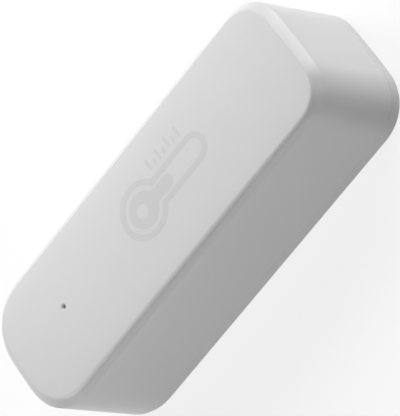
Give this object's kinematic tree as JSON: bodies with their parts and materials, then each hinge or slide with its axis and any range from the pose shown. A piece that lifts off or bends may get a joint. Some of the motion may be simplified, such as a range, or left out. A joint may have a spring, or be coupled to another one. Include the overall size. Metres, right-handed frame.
{
  "type": "wireless temperature and humidity sensor",
  "caption": "Slim wireless temperature and humidity sensor in a rounded white plastic housing with a chamfered face, end vents and a screwed back cover.",
  "frame": {"origin": "middle of the housing's outline, on the flat outer face of the back cover", "axes": "+Z out of the front face, +Y along the housing towards the end away from the vents, +X across it to the right seen from the front"},
  "size_m": [0.0292, 0.0866, 0.0233],
  "materials": {
    "shell_plastic": "satin off-white moulded plastic with a very fine texture",
    "cover_plastic": "satin off-white moulded plastic",
    "holder_plastic": "matt black moulded plastic",
    "circuit_board": "green solder mask on glass-fibre board",
    "chip_black": "matt black moulding compound",
    "ceramic_tan": "bare tan ceramic",
    "screw_steel": "zinc-plated steel",
    "contact_steel": "nickel-plated spring steel",
    "shield_tin": "tinned sheet steel",
    "can_aluminium": "bare aluminium can",
    "antenna_brass": "plain brass wire",
    "cell_sleeve": "plain blue shrink sleeve",
    "filter_white": "white porous membrane",
    "clear_plastic": "clear moulded plastic",
    "led_lens": "pale yellow phosphor under a clear lens"
  },
  "bodies": {
    "root": {"front_shell": "shell_plastic", "back_cover": "cover_plastic", "cover_screw_1": "screw_steel", "cover_screw_2": "screw_steel", "cover_screw_3": "screw_steel", "cover_screw_4": "screw_steel", "main_board": "circuit_board", "board_screw": "screw_steel", "battery_holder": "holder_plastic", "battery_cell": "cell_sleeve", "positive_contact": "contact_steel", "battery_spring": "contact_steel", "antenna": "antenna_brass", "radio_module": "circuit_board", "radio_shield": "shield_tin", "storage_capacitor": "can_aluminium", "humidity_sensor": "chip_black", "sensor_filter": "filter_white", "status_led": "led_lens", "light_pipe": "clear_plastic", "crystal": "can_aluminium", "microcontroller": "chip_black", "memory_chip": "chip_black", "voltage_regulator": "chip_black", "power_choke": "chip_black", "chip_capacitor_1": "ceramic_tan", "chip_capacitor_2": "ceramic_tan", "chip_capacitor_3": "ceramic_tan", "chip_resistor_1": "chip_black", "chip_resistor_2": "chip_black"}
  },
  "joints": []
}
